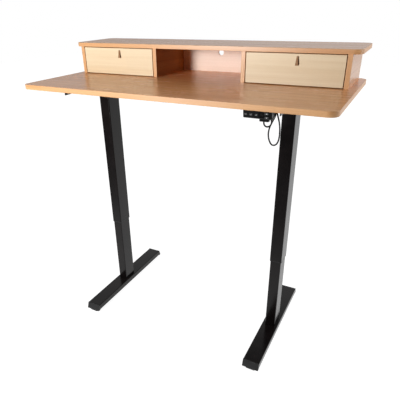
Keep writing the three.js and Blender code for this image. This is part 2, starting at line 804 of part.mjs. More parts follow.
// Handset lead: a hanging loop up to the clip, then a run from the clip into the control box
const clipX = 414;
const clipFront = -232;
const leadTop = frameTop - CLIP_HEIGHT / 2;
const loopRoute = [
  [HANDSET_LEFT + LEAD_ACROSS, HANDSET_FRONT + LEAD_BACK, bossBottom - LEAD_GAP], [388.1, -281.9, 1003],
  [390, -281.2, 997.2], [395.6, -279.6, 993.8], [401.8, -277.2, 995.6], [405, -273.8, 1001],
  [404, -269.4, 1007.2], [399, -264.2, 1012.6], [393.6, -258.2, 1017.6], [390.6, -251, 1022.6],
  [391.6, -243.8, 1027], [397, -239, 1029.6], [404, -239, 1028.8], [409, -243.8, 1024],
  [409.6, -251, 1016], [406.4, -258.6, 1005], [402.6, -265.4, 991.6], [400.8, -270.6, 975.6],
  [403.2, -274.4, 959], [409, -276.4, 945], [414.2, -277, 938.4], [421, -277.2, 936],
  [428, -276.6, 938.6], [432.8, -275.2, 945.4], [435.4, -272.6, 958], [434.8, -268, 976],
  [431.6, -262.6, 993.6], [425.6, -256.4, 1010.4], [419.6, -250, 1021.4], [415.4, -243.4, 1028.8],
  [clipX, -237, leadTop], [clipX, clipFront - LEAD_GAP, leadTop],
];
const runRoute = [
  [clipX, clipFront, leadTop], [clipX, clipFront + CLIP_LENGTH, leadTop], [407, -205, 1031],
  [388, -186, 1030], [362, -172, 1029], [340, -158, 1027],
  [boxRight + CLIP_LENGTH / 2, leadSocketY, boxMiddle],
  [boxRight - SOCKET_DEPTH / 2, leadSocketY, boxMiddle],
];

function lead(route, steps) {
  const places = route.map((point) => new THREE.Vector3(...point));
  const path = new THREE.CatmullRomCurve3(places, false, 'centripetal');
  const ring = arc(0, 0, LEAD_RADIUS, 0, 2 * Math.PI, LEAD_SIDES).slice(0, -1);
  const shape = new THREE.Shape(ring.map(([a, b]) => new THREE.Vector2(a, b)));
  return new THREE.ExtrudeGeometry(shape, { steps, extrudePath: path, bevelEnabled: false });
}

function clip(x, y0, z) {
  const halfClip = CLIP_WIDTH / 2;
  const hole = arc(x, z, LEAD_RADIUS + FIT_GAP, 0, 2 * Math.PI, ARC_STEPS * 2).slice(0, -1);
  return prismY([
    [x - halfClip, frameTop - CLIP_HEIGHT], [x + halfClip, frameTop - CLIP_HEIGHT],
    [x + halfClip, frameTop], [x - halfClip, frameTop],
  ], y0, y0 + CLIP_LENGTH, [hole.reverse()]);
}

add('frame', 'handset_lead', lead(loopRoute, LEAD_LOOP_STEPS), 'lead');
add('frame', 'lead_run', lead(runRoute, LEAD_RUN_STEPS), 'lead');
add('frame', 'lead_clip', clip(clipX, clipFront, leadTop), 'nylon');

export default part;
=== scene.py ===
# Height-adjustable computer desk with a drawer riser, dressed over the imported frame. Metres.
import math

import bmesh
import bpy
from mathutils import Matrix, Vector


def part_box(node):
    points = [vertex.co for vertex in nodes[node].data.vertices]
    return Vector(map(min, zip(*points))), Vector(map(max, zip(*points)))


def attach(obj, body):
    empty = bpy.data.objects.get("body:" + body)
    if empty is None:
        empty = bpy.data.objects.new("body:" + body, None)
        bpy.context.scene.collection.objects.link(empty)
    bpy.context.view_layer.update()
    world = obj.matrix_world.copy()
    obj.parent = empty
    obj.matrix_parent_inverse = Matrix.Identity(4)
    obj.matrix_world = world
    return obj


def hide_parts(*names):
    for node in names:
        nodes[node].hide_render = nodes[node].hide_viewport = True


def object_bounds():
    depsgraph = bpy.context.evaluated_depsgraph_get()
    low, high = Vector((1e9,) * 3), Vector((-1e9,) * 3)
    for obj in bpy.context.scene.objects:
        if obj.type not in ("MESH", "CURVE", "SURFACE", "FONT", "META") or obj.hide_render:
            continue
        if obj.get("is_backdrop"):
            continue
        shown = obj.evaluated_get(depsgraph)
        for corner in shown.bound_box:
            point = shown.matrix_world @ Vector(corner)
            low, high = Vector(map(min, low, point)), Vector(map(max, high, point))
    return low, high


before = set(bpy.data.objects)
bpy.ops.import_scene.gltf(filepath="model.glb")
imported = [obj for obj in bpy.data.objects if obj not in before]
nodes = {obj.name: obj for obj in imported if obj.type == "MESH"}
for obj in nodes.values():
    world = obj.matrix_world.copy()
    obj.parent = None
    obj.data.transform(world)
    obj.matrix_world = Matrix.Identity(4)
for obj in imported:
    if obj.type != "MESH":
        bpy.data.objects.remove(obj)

scene = bpy.context.scene
scene.view_settings.view_transform = "Standard"
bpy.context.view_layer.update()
sides = ("left", "right")
print("desk: frame loaded with", len(nodes), "nodes")


def addObject(name, data):
    thing = bpy.data.objects.new(name, data)
    scene.collection.objects.link(thing)
    return thing


# Camera, fitted to the straight edges of the desk
cameraPlan = dict(
    place=(0.768713, -1.479401, 1.326760), yaw=0.504326, pitch=-0.465935, roll=-0.024037,
    focalPixels=414.8, centrePixel=(184.276, 212.729), framePixels=400, sensor=36, clip=(0.05, 60),
)


def aimCamera(plan):
    pixels, (x, y) = plan["framePixels"], plan["centrePixel"]
    lens = bpy.data.cameras.new("deskCamera")
    lens.sensor_width = plan["sensor"]
    lens.lens = plan["focalPixels"] / pixels * plan["sensor"]
    lens.shift_x, lens.shift_y = 0.5 - x / pixels, y / pixels - 0.5
    lens.clip_start, lens.clip_end = plan["clip"]
    scene.camera = addObject("deskCamera", lens)
    turn = Matrix.Rotation(plan["yaw"], 4, "Z") @ Matrix.Rotation(math.pi / 2 + plan["pitch"], 4, "X")
    turn = turn @ Matrix.Rotation(plan["roll"], 4, "Z")
    scene.camera.matrix_world = Matrix.Translation(plan["place"]) @ turn


aimCamera(cameraPlan)
print("desk: camera placed")


# Shader building
def tone(red, green, blue):
    def linear(value):
        value /= 255
        return value / 12.92 if value <= 0.04045 else ((value + 0.055) / 1.055) ** 2.4
    return (linear(red), linear(green), linear(blue), 1)


def feed(tree, sockets, inputs):
    for key, value in inputs.items():
        if isinstance(value, bpy.types.NodeSocket):
            tree.links.new(value, sockets[key])
        else:
            sockets[key].default_value = value


def addNode(tree, kind, inputs=None, **settings):
    node = tree.nodes.new(kind)
    for key, value in settings.items():
        setattr(node, key, value)
    feed(tree, node.inputs, inputs or {})
    return node.outputs


def calc(tree, operation, first, second=0.0, clamp=False):
    return addNode(tree, "ShaderNodeMath", {0: first, 1: second}, operation=operation, use_clamp=clamp)[0]


def plus(tree, first, second, clamp=False):
    return calc(tree, "ADD", first, second, clamp)


def times(tree, first, second, clamp=False):
    return calc(tree, "MULTIPLY", first, second, clamp)


def mixTone(tree, share, first, second):
    return addNode(tree, "ShaderNodeMix", {0: share, 6: first, 7: second}, data_type="RGBA")[2]


def spread(tree, value, low, high, newLow=0.0, newHigh=1.0):
    inputs = {0: value, 1: low, 2: high, 3: newLow, 4: newHigh}
    return addNode(tree, "ShaderNodeMapRange", inputs, interpolation_type="SMOOTHSTEP")[0]


def noiseAt(tree, vector, scale, detail=2.0, rough=0.5):
    inputs = {"Vector": vector, "Scale": scale, "Detail": detail, "Roughness": rough}
    return addNode(tree, "ShaderNodeTexNoise", inputs)[0]


def stretchedNoise(tree, vector, scale, detail=2.0, rough=0.5):
    vector = addNode(tree, "ShaderNodeVectorMath", {0: vector, 1: scale}, operation="MULTIPLY")[0]
    return noiseAt(tree, vector, 1.0, detail, rough)


def partOf(tree, vector, number):
    return addNode(tree, "ShaderNodeSeparateXYZ", {0: vector})[number]


def newTree(kind, name, inputs, outputs):
    tree = bpy.data.node_groups.new(name, kind)
    for way, sockets in (("INPUT", inputs), ("OUTPUT", outputs)):
        for label, form in sockets.items():
            tree.interface.new_socket(label, in_out=way, socket_type="NodeSocket" + form)
    return tree, tree.nodes.new("NodeGroupInput").outputs, tree.nodes.new("NodeGroupOutput").inputs


def useGroup(tree, group, inputs):
    return addNode(tree, "ShaderNodeGroup", inputs, node_tree=group)


def newMaterial(name, settings):
    material = bpy.data.materials.new(name)
    material.use_nodes = True
    tree = material.node_tree
    shader = tree.nodes["Principled BSDF"]
    feed(tree, shader.inputs, settings)
    return material, tree, shader


def dress(tree, shader, colour, roughness, height=None, distance=0.0, strength=1.0):
    feed(tree, shader.inputs, {"Base Color": colour, "Roughness": roughness})
    if height:
        inputs = {"Height": height, "Distance": distance, "Strength": strength}
        feed(tree, shader.inputs, {"Normal": addNode(tree, "ShaderNodeBump", inputs)[0]})


def varied(tree, value, look):
    return plus(tree, times(tree, value, look["vary"]), look["rough"])


def objectVector(tree):
    return addNode(tree, "ShaderNodeTexCoord")["Object"]


# Wood figure in metres with the grain along the vector's first axis
figurePlan = dict(
    bands=dict(scale=(0.9, 8.5, 8.5), detail=3.0, rough=0.55, range=(0.3, 0.7), share=0.25),
    streaks=dict(scale=(2.4, 150.0, 150.0), detail=4.0, rough=0.6, range=(0.34, 0.66), share=0.4),
    lines=dict(scale=(1.3, 42.0, 42.0), detail=1.0, rough=0.5, range=(0.42, 0.62), share=0.45),
    bend=dict(scale=(1.6, 5.0, 5.0), detail=1.0, rough=0.4, turns=110.0, range=(0.2, 1.0)),
    dashes=dict(scale=(210.0, 1500.0, 1500.0), detail=0.0, rough=0.5, range=(0.6, 0.68)),
    streakHeight=0.6, dashDepth=0.5, dullness=0.5,
)


def makeWoodFigure(plan):
    inputs = {"Vector": "Vector", "Pale": "Color", "Deep": "Color", "Fleck": "Color",
              "Fleck Amount": "Float", "Arch Amount": "Float"}
    outputs = {"Color": "Color", "Height": "Float", "Dullness": "Float"}
    tree, given, out = newTree("ShaderNodeTree", "woodFigure", inputs, outputs)

    def noise(name):
        part = plan[name]
        return stretchedNoise(tree, given["Vector"], part["scale"], part["detail"], part["rough"])

    streaks = noise("streaks")
    depth = 0.0
    for name, value in (("bands", noise("bands")), ("streaks", streaks), ("lines", noise("lines"))):
        share = spread(tree, value, *plan[name]["range"])
        depth = plus(tree, times(tree, share, plan[name]["share"]), depth)
    rings = calc(tree, "SINE", times(tree, noise("bend"), plan["bend"]["turns"]))
    arches = times(tree, spread(tree, rings, *plan["bend"]["range"]), given["Arch Amount"])
    base = mixTone(tree, plus(tree, depth, arches, True), given["Pale"], given["Deep"])
    dashMask = times(tree, spread(tree, noise("dashes"), *plan["dashes"]["range"]), given["Fleck Amount"])
    ridges, pits = times(tree, streaks, plan["streakHeight"]), times(tree, dashMask, plan["dashDepth"])
    feed(tree, out, {
        "Color": mixTone(tree, dashMask, base, given["Fleck"]),
        "Height": calc(tree, "SUBTRACT", ridges, pits), "Dullness": times(tree, streaks, plan["dullness"]),
    })
    return tree


# Thin uneven film, more of it on faces that look up
filmPlan = dict(
    upward=(0.55, 0.98), clouds=(9.0, 5.0, 0.65), cloudRange=(0.35, 0.75), cloudShare=0.7,
    specks=(620.0, 1.0), speckRange=(0.62, 0.72), speckShare=0.5,
)


def makeDustFilm(plan):
    inputs = {"Vector": "Vector", "Amount": "Float", "Everywhere": "Float"}
    tree, given, out = newTree("ShaderNodeTree", "dustFilm", inputs, {"Mask": "Float"})
    face = addNode(tree, "ShaderNodeNewGeometry")["Normal"]
    upward = calc(tree, "MAXIMUM", spread(tree, partOf(tree, face, 2), *plan["upward"]), given["Everywhere"])
    clouds = spread(tree, noiseAt(tree, given["Vector"], *plan["clouds"]), *plan["cloudRange"])
    specks = spread(tree, noiseAt(tree, given["Vector"], *plan["specks"]), *plan["speckRange"])
    film = plus(tree, times(tree, clouds, plan["cloudShare"]), times(tree, specks, plan["speckShare"]))
    feed(tree, out, {"Mask": times(tree, times(tree, film, upward), given["Amount"], True)})
    return tree


# Orange-peel skin of paint and of moulded plastic
def makeSkin():
    inputs = {"Vector": "Vector", "Size": "Float", "Patch": "Float"}
    tree, given, out = newTree("ShaderNodeTree", "fineSkin", inputs, {"Height": "Float", "Patches": "Float"})
    peel = noiseAt(tree, given["Vector"], calc(tree, "DIVIDE", 1.0, given["Size"]), 2.0, 0.55)
    patches = noiseAt(tree, given["Vector"], calc(tree, "DIVIDE", 1.0, given["Patch"]), 3.0, 0.6)
    feed(tree, out, {"Height": peel, "Patches": spread(tree, patches, 0.3, 0.7)})
    return tree


woodFigure, dustFilm, fineSkin = makeWoodFigure(figurePlan), makeDustFilm(filmPlan), makeSkin()
grainTurns = {"x": (0, 0, 0), "y": (0, 0, -math.pi / 2)}


def placeVector(tree, grain):
    if grain == "uv":
        return addNode(tree, "ShaderNodeUVMap", uv_map="grain")[0]
    inputs = {"Vector": objectVector(tree), "Rotation": grainTurns[grain]}
    return addNode(tree, "ShaderNodeMapping", inputs)[0]


# Tones are pale, deep and fleck
woodBase = dict(flecks=0.45, arches=0.1, rough=0.22, vary=0.1, bump=0.00003, ior=1.48, dust=0.012)
woodLooks = dict(
    beechTop=dict(tones=((237, 174, 118), (214, 147, 94), (160, 103, 60)), arches=0.02, rough=0.24),
    beechEdge=dict(
        tones=((219, 171, 123), (201, 147, 98), (165, 108, 64)), flecks=0.35, arches=0.0,
        rough=0.32, bump=0.00002,
    ),
    beechBoard=dict(tones=((208, 160, 118), (188, 136, 94), (148, 98, 62)), vary=0.12),
    # Divider boards: the riser's beech painted darker and more orange, painted shade of the recess they
    # stand in
    dividerBoard=dict(tones=((186, 126, 68), (164, 106, 54), (124, 74, 42)), rough=0.6, ior=1.25),
    birchFront=dict(
        tones=((223, 204, 172), (213, 190, 154), (186, 153, 110)), flecks=0.16, arches=0.03,
        rough=0.42, vary=0.12,
    ),
    birchBack=dict(
        tones=((241, 219, 203), (233, 208, 189), (202, 168, 144)), flecks=0.18, arches=0.04, rough=0.45,
    ),
    drawerBoard=dict(
        tones=((226, 203, 166), (208, 178, 136), (172, 136, 94)), flecks=0.22, arches=0.25,
        rough=0.55, vary=0.12, bump=0.00005,
    ),
    hardboard=dict(
        tones=((171, 133, 92), (146, 108, 70), (105, 76, 48)), flecks=0.5, arches=0.0,
        rough=0.7, vary=0.15, bump=0.00006,
    ),
)
plyLook = dict(
    tones=((220, 192, 150), (196, 160, 116), (140, 104, 70)), flecks=0.4, arches=0.0,
    glue=(158, 118, 80), layer=0.0028, glueShare=0.6, rough=0.5, vary=0.2, bump=0.00004,
)
woodDust = (0.0, (214, 205, 194))  # share on faces that don't look up, tone


def woodPattern(tree, look, grain):
    pale, deep, fleck = (tone(*value) for value in look["tones"])
    vector = placeVector(tree, grain)
    return vector, useGroup(tree, woodFigure, {
        "Vector": vector, "Pale": pale, "Deep": deep, "Fleck": fleck,
        "Fleck Amount": look["flecks"], "Arch Amount": look["arches"],
    })


def dressDusty(tree, shader, look, colour, unevenness, height, everywhere, dustTone):
    inputs = {"Vector": objectVector(tree), "Amount": look["dust"], "Everywhere": everywhere}
    dust = useGroup(tree, dustFilm, inputs)["Mask"]
    rough = plus(tree, varied(tree, unevenness, look), dust, True)
    dress(tree, shader, mixTone(tree, dust, colour, tone(*dustTone)), rough, height, look["bump"])


def woodMaterial(name, look, grain):
    look = woodBase | look
    material, tree, shader = newMaterial(name, {"IOR": look["ior"]})
    figure = woodPattern(tree, look, grain)[1]
    dressDusty(tree, shader, look, figure["Color"], figure["Dullness"], figure["Height"], *woodDust)
    return material


# Plywood edge: thin layers across the board's thickness
def plyEdgeMaterial(name, look):
    material, tree, shader = newMaterial(name, {"IOR": 1.45})
    vector, figure = woodPattern(tree, look, "uv")
    turns = calc(tree, "SINE", times(tree, partOf(tree, vector, 1), 2 * math.pi / look["layer"]))
    stripe = times(tree, spread(tree, turns, 0.1, 0.5), look["glueShare"])
    colour = mixTone(tree, stripe, figure["Color"], tone(*look["glue"]))
    height = calc(tree, "SUBTRACT", figure["Height"], stripe)
    dress(tree, shader, colour, varied(tree, stripe, look), height, look["bump"])
    return material


# Tones are the paint and its worn patches
paintBase = dict(vary=0.1, ior=1.45, size=0.0007, patch=0.09, bump=0.00002, dust=0.02)
paintLooks = dict(
    blackSteel=dict(
        tones=((12, 9, 9), (19, 15, 15)), rough=0.16, vary=0.06, ior=1.32, size=0.0011, dust=0.012,
    ),
    blackHousing=dict(
        tones=((12, 12, 13), (18, 18, 19)), rough=0.2, vary=0.08, ior=1.36, size=0.0006, dust=0.014,
    ),
    blackNylon=dict(
        tones=((15, 15, 16), (24, 24, 25)), rough=0.38, vary=0.12, ior=1.42, size=0.0008,
        bump=0.00003, dust=0.03,
    ),
    buttonPlastic=dict(
        tones=((34, 34, 36), (50, 50, 52)), rough=0.42, vary=0.08, size=0.0004, bump=0.00001, dust=0.04,
    ),
    leadSheath=dict(tones=((9, 9, 10), (16, 16, 17)), rough=0.44, ior=1.4, size=0.0009),
    greyClip=dict(tones=((150, 150, 152), (172, 172, 174)), rough=0.5, dust=0.04),
    markPaint=dict(tones=((206, 206, 204), (178, 178, 176)), rough=0.55, size=0.0003, bump=0.00001),
)
paintDust = (0.12, (168, 165, 160))


def paintMaterial(name, look):
    look = paintBase | look
    material, tree, shader = newMaterial(name, {"IOR": look["ior"]})
    inputs = {"Vector": objectVector(tree), "Size": look["size"], "Patch": look["patch"]}
    skin = useGroup(tree, fineSkin, inputs)
    base, worn = (tone(*value) for value in look["tones"])
    colour = mixTone(tree, skin["Patches"], base, worn)
    dressDusty(tree, shader, look, colour, skin["Patches"], skin["Height"], *paintDust)
    return material


def zincMaterial(name):
    material, tree, shader = newMaterial(name, {"Metallic": 1.0, "IOR": 1.5})
    vector = objectVector(tree)
    spangle = spread(tree, noiseAt(tree, vector, 160.0, 3.0, 0.6), 0.35, 0.65)
    drawn = stretchedNoise(tree, vector, (900.0, 900.0, 20.0))
    colour = mixTone(tree, spangle, tone(176, 178, 182), tone(205, 206, 208))
    dress(tree, shader, colour, plus(tree, times(tree, drawn, 0.2), 0.22), drawn, 0.00001)
    return material


def glassMaterial(name):
    material, tree, shader = newMaterial(name, {"IOR": 1.5})
    smears = spread(tree, noiseAt(tree, objectVector(tree), 140.0, 3.0, 0.6), 0.4, 0.75)
    colour = mixTone(tree, smears, tone(7, 7, 9), tone(14, 13, 15))
    dress(tree, shader, colour, plus(tree, times(tree, smears, 0.12), 0.08))
    return material


leatherLook = dict(
    pale=(198, 146, 92), deep=(174, 124, 76), rim=(96, 62, 40), crease=(112, 80, 50),
    rimRange=(0.0046, 0.006), rimShare=0.6, cells=1500.0, cellRange=(0.0, 0.28),
    mottle=(110.0, 4.0, 0.6), vary=0.2, rough=0.45, bump=0.00012, strength=0.8,
)


def leatherMaterial(name, look):
    material, tree, shader = newMaterial(name, {"IOR": 1.45})
    vector = placeVector(tree, "uv")
    inputs = {"Vector": vector, "Scale": look["cells"]}
    cells = addNode(tree, "ShaderNodeTexVoronoi", inputs, feature="DISTANCE_TO_EDGE")["Distance"]
    pebbles = spread(tree, cells, *look["cellRange"])
    mottle = noiseAt(tree, vector, *look["mottle"])
    rim = spread(tree, calc(tree, "ABSOLUTE", partOf(tree, vector, 1)), *look["rimRange"])
    body = mixTone(tree, spread(tree, mottle, 0.3, 0.7), tone(*look["pale"]), tone(*look["deep"]))
    body = mixTone(tree, times(tree, rim, look["rimShare"]), body, tone(*look["rim"]))
    colour = mixTone(tree, calc(tree, "SUBTRACT", 1.0, pebbles), body, tone(*look["crease"]))
    dress(tree, shader, colour, varied(tree, mottle, look), pebbles, look["bump"], look["strength"])
    return material


def threadMaterial(name):
    material, tree, shader = newMaterial(name, {"IOR": 1.4})
    twist = stretchedNoise(tree, objectVector(tree), (5200.0, 5200.0, 2600.0), 1.0)
    colour = mixTone(tree, twist, tone(206, 180, 140), tone(160, 128, 88))
    dress(tree, shader, colour, plus(tree, times(tree, twist, 0.2), 0.6))
    return material


def wood(name, grain="uv", look=None):
    return woodMaterial(name, woodLooks[look or name], grain)


beechTop, beechEdge, beechBoard = wood("beechTop"), wood("beechEdge"), wood("beechBoard")
dividerBoard, birchFront = wood("dividerBoard"), wood("birchFront")
birchBack, hardboard = wood("birchBack", "x"), wood("hardboard", "x")
drawerSideWood = wood("drawerSideWood", "y", "drawerBoard")
drawerBackWood = wood("drawerBackWood", "x", "drawerBoard")
plyEdge = plyEdgeMaterial("plyEdge", plyLook)
paints = {name: paintMaterial(name, look) for name, look in paintLooks.items()}
zincSteel, darkWindow = zincMaterial("zincSteel"), glassMaterial("darkWindow")
tabLeather, waxedThread = leatherMaterial("tabLeather", leatherLook), threadMaterial("waxedThread")
print("desk: materials made")


# Shapes shared by the boards, tubes and housings
axisOrder = {"x": (1, 2, 0), "y": (0, 2, 1), "z": (0, 1, 2)}  # across, up, depth


def roundedOutline(x0, x1, y0, y1, radius, steps):
    points = []
    corners = ((x1, y0, -1, 1, -90), (x1, y1, -1, -1, 0), (x0, y1, 1, -1, 90), (x0, y0, 1, 1, 180))
    for x, y, inX, inY, start in corners:
        for i in range(steps + 1):
            angle = math.radians(start + 90 * i / steps)
            across, up = radius * math.cos(angle), radius * math.sin(angle)
            points.append((x + inX * radius + across, y + inY * radius + up))
    return points


# Insets and places of the rings of a slab with rounded rims
def rimLevels(low, high, arris, steps):
    angles = [math.pi / 2 * k / steps for k in range(steps + 1)]
    levels = [(arris * (1 - math.sin(angle)), arris * (1 - math.cos(angle))) for angle in angles]
    lower = [(inset, low + rise) for inset, rise in levels]
    return lower + [(inset, high - rise) for inset, rise in reversed(levels)]


def placeRings(low, high, axis, radius, levels, steps):
    a, b, c = axisOrder[axis]
    rings = []
    for inset, depth in levels:
        ring = []
        rims = (low[a] + inset, high[a] - inset, low[b] + inset, high[b] - inset)
        for u, v in roundedOutline(*rims, radius - inset, steps):
            point = [0.0, 0.0, 0.0]
            point[a], point[b], point[c] = u, v, depth
            ring.append(point)
        rings.append(ring)
    return rings


def slabRings(low, high, axis, radius, arris, steps=8, arrisSteps=3):
    c = axisOrder[axis][2]
    levels = rimLevels(low[c], high[c], arris, arrisSteps)
    return placeRings(low, high, axis, max(radius, arris * 1.2), levels, steps)


def tubeRings(low, high, axis, radius, wall, arris, steps=8):
    start, end = low[axisOrder[axis][2]], high[axisOrder[axis][2]]
    levels = [(0, start + arris), (0, end - arris), (arris, end), (wall - arris, end)]
    levels += [(wall, end - arris), (wall, start + arris), (wall - arris, start), (arris, start)]
    return placeRings(low, high, axis, radius, levels, steps)


def skinRings(bm, rings, wrap=False):
    loops = [[bm.verts.new(point) for point in ring] for ring in rings]
    pairs = list(zip(loops, loops[1:]))
    if wrap:
        pairs.append((loops[-1], loops[0]))
    for lower, upper in pairs:
        for i in range(len(lower)):
            j = (i + 1) % len(lower)
            bm.faces.new((lower[i], lower[j], upper[j], upper[i]))
    if not wrap:
        bm.faces.new(loops[0][::-1])
        bm.faces.new(loops[-1])
    bmesh.ops.recalc_face_normals(bm, faces=bm.faces)


def finishMesh(bm):
    mesh = bpy.data.meshes.new("mesh")
    bm.to_mesh(mesh)
    bm.free()
    return mesh


def meshFromRings(rings, wrap=False):
    bm = bmesh.new()
    skinRings(bm, rings, wrap)
    return finishMesh(bm)


def joinMeshes(*meshes):
    bm = bmesh.new()
    for mesh in meshes:
        bm.from_mesh(mesh)
        bpy.data.meshes.remove(mesh)
    return finishMesh(bm)


# A piece in a frame node's place is named after it unless a name is given
def makePiece(mesh, body, materials, node="", name="", sharp=38):
    first, *rest = node.split("_")
    mesh.name = name or first + "".join(word.capitalize() for word in rest)
    piece = addObject(mesh.name, mesh)
    if not mesh.materials:
        for material in materials:
            mesh.materials.append(material)
    mesh.shade_smooth()
    mesh.set_sharp_from_angle(angle=math.radians(sharp))
    if not mesh.has_custom_normals:
        piece.modifiers.new("evenFaces", "WEIGHTED_NORMAL").keep_sharp = True
    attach(piece, body)
    if node:
        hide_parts(node)


# A grain map in metres: panel faces along the grain axis, edge faces along the rim
grainPlan = dict(panelTilt=0.9, acrossShift=0.37, depthShift=0.11)


def layGrain(mesh, count, axis, grain, shift, plan):
    a, b, c = axisOrder[axis]
    g = "xyz".index(grain)
    h = b if g == a else a
    layer = mesh.uv_layers.new(name="grain")
    coords = [vertex.co for vertex in mesh.vertices]
    travel = [0.0]
    for i in range(count):
        travel.append(travel[-1] + (coords[(i + 1) % count] - coords[i]).length)
    for polygon in mesh.polygons:
        panel = abs(polygon.normal[c]) > plan["panelTilt"] and len(polygon.vertices) > 4
        spots = [vertex % count for vertex in polygon.vertices]
        wraps = not panel and 0 in spots and count - 1 in spots
        polygon.material_index = 0 if panel else 1
        for loop, vertex, spot in zip(polygon.loop_indices, polygon.vertices, spots):
            co = coords[vertex]
            if panel:
                layer.data[loop].uv = (co[g] + shift, co[h] + shift * plan["acrossShift"])
            else:
                along = travel[count] if wraps and spot == 0 else travel[spot]
                layer.data[loop].uv = (along, co[c] + shift * plan["depthShift"])


def makeBoard(node, body, slot, materials, plan, shift=0.0, name=""):
    rings = slabRings(*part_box(node), plan["axis"], plan["corner"], plan["arris"], plan["steps"])
    mesh = meshFromRings(rings)
    layGrain(mesh, len(rings[0]), plan["axis"], plan["grain"], plan["shift"] + shift, grainPlan)
    makePiece(mesh, body, materials, node, name)


# Handset lead: loop below the handset and run to the control box, with points in millimetres
leadPlan = dict(
    diameter=0.0049, roundSteps=3, knotSteps=8,
    loop=[
        (388, -282, 1007.2), (388.1, -281.9, 1002.2), (390.8, -281, 995.2), (397.2, -279.3, 991.2),
        (404.4, -276.6, 993), (408.4, -273, 999), (407.6, -268.6, 1006.2), (402.4, -263.6, 1012.6),
        (396, -257.8, 1018), (391.6, -251, 1022.8), (391.2, -243.2, 1027.2), (396.2, -237.2, 1029.8),
        (404.4, -236.6, 1029.2), (410.6, -241.6, 1024.4), (411.8, -250, 1016.2), (408.4, -258.4, 1005),
        (404, -265.4, 991.6), (401.4, -270.6, 975.6), (403.2, -274.4, 959), (409, -276.4, 945),
        (414.2, -277, 938.4), (421, -277.2, 936), (428, -276.6, 938.6), (432.8, -275.2, 945.4),
        (435.4, -272.6, 958), (434.8, -268, 976), (431.6, -262.6, 993.6), (425.6, -256.4, 1010.4),
        (419.6, -250, 1021.4), (415.4, -243.4, 1028.8), (414, -237, 1032), (414, -232.3, 1032),
    ],
    run=[
        (414, -232, 1032), (414, -222, 1032), (407, -205, 1031), (388, -186, 1030), (362, -172, 1029),
        (340, -158, 1027), (315, -142, 1026), (306, -142, 1026),
    ],
)


def makeCord(name, points, plan, replaced):
    curve = bpy.data.curves.new(name, "CURVE")
    curve.dimensions = "3D"
    curve.bevel_depth = plan["diameter"] / 2
    curve.bevel_resolution = plan["roundSteps"]
    curve.use_fill_caps = True
    spline = curve.splines.new("BEZIER")
    spline.bezier_points.add(len(points) - 1)
    for knot, point in zip(spline.bezier_points, points):
        knot.co = [value / 1000 for value in point]
        knot.handle_left_type = knot.handle_right_type = "AUTO"
    spline.resolution_u = plan["knotSteps"]
    curve.materials.append(paints["leadSheath"])
    cord = addObject(name, curve)
    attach(cord, "top")
    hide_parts(replaced)
    bpy.context.view_layer.update()
    return cord, spline.calc_length()


loopCord, loopLength = makeCord("handsetLead", leadPlan["loop"], leadPlan, "handset_lead")
print("desk: handset lead", round(loopLength * 1000), "mm")
runLength = makeCord("leadRun", leadPlan["run"], leadPlan, "lead_run")[1]
print("desk: lead run", round(runLength * 1000), "mm")

# Worktop, riser boards and drawer fronts
boardPlan = dict(
    top=dict(axis="z", grain="x", corner=0.03, arris=0.0009, steps=16, shift=0.0),
    upright=dict(axis="x", grain="y", corner=0.0008, arris=0.0006, steps=2, shift=5.3),
    front=dict(axis="y", grain="x", corner=0.0012, arris=0.0008, steps=3, shift=8.7),
    riserShift=3.1, uprightShift=0.71, frontShift=1.9,
)
topLook = ("top", "beech_top", [beechTop, beechEdge], boardPlan["top"])
makeBoard("worktop", *topLook, 0.0, "worktopBoard")
makeBoard("riser_top", *topLook, boardPlan["riserShift"], "riserTopBoard")
uprights = [(place, side) for place in ("end", "divider") for side in sides]
for number, (place, side) in enumerate(uprights):
    # the dividers' faces take the darker divider wood, painted shade of the recess; the end panels keep the
    # plain board
    faces = [beechBoard if place == "end" else dividerBoard, beechEdge]
    shift = number * boardPlan["uprightShift"]
    makeBoard(f"riser_{place}_{side}", "top", "beech_board", faces, boardPlan["upright"], shift)
for number, side in enumerate(sides):
    node, body, shift = f"drawer_front_{side}", f"drawer_{side}", number * boardPlan["frontShift"]
    makeBoard(node, body, "birch_front", [birchFront, plyEdge], boardPlan["front"], shift)

# Carried-over frame nodes whose shape is right
carried = {"riser_back": birchBack, "lead_clip": paints["greyClip"], "control_box": paints["blackHousing"]}
for side in sides:
    carried[f"drawer_side_{side}_a"] = carried[f"drawer_side_{side}_b"] = drawerSideWood
    carried[f"drawer_back_{side}"] = drawerBackWood
    carried[f"drawer_bottom_{side}"] = hardboard
    carried[f"runner_{side}_a"] = carried[f"runner_{side}_b"] = paints["blackNylon"]
    carried[f"guide_collar_{side}"] = carried[f"spindle_nut_{side}"] = paints["blackNylon"]
    carried[f"base_block_{side}"] = carried[f"side_arm_{side}"] = paints["blackSteel"]
carried["cross_rail_front"] = carried["cross_rail_rear"] = paints["blackSteel"]
for node, material in carried.items():
    for materialSlot in nodes[node].material_slots:
        materialSlot.material = material
print("desk: boards and drawers made")

# Leather tabs: a strap folded into a loop and stitched through both layers
tabPlan = dict(
    neck=0.005, thick=0.0022, corner=0.0007, cornerSteps=3, bendSteps=16, returnSteps=8,
    hold=0.0055, cushion=0.00015, straight=0.9, endGap=0.0003,
)


def tabPath(low, high, plan):
    half, hold = plan["thick"] / 2, high[2] - plan["hold"]
    back = high[1] - half - plan["cushion"]
    loop = (high[1] - low[1]) / 2
    middle = Vector((0, low[1] + loop, low[2] + loop))
    radius = loop - half - plan["cushion"]
    crown = high[1] - 3 * half - 2 * plan["cushion"]
    points = [Vector((0, back, z)) for z in (high[2], hold, middle[2] + radius * plan["straight"])]
    for i in range(plan["bendSteps"] + 1):
        angle = math.pi * i / plan["bendSteps"]
        points.append(middle + Vector((0, radius * math.cos(angle), -radius * math.sin(angle))))
    start, end = points[-1], Vector((0, crown, hold))
    for i in range(1, plan["returnSteps"] + 1):
        share = i / plan["returnSteps"]
        y = start[1] + (end[1] - start[1]) * share * share * (3 - 2 * share)
        points.append(Vector((0, y, start[2] + (end[2] - start[2]) * share)))
    points.append(Vector((0, crown, high[2] - plan["endGap"])))
    return points


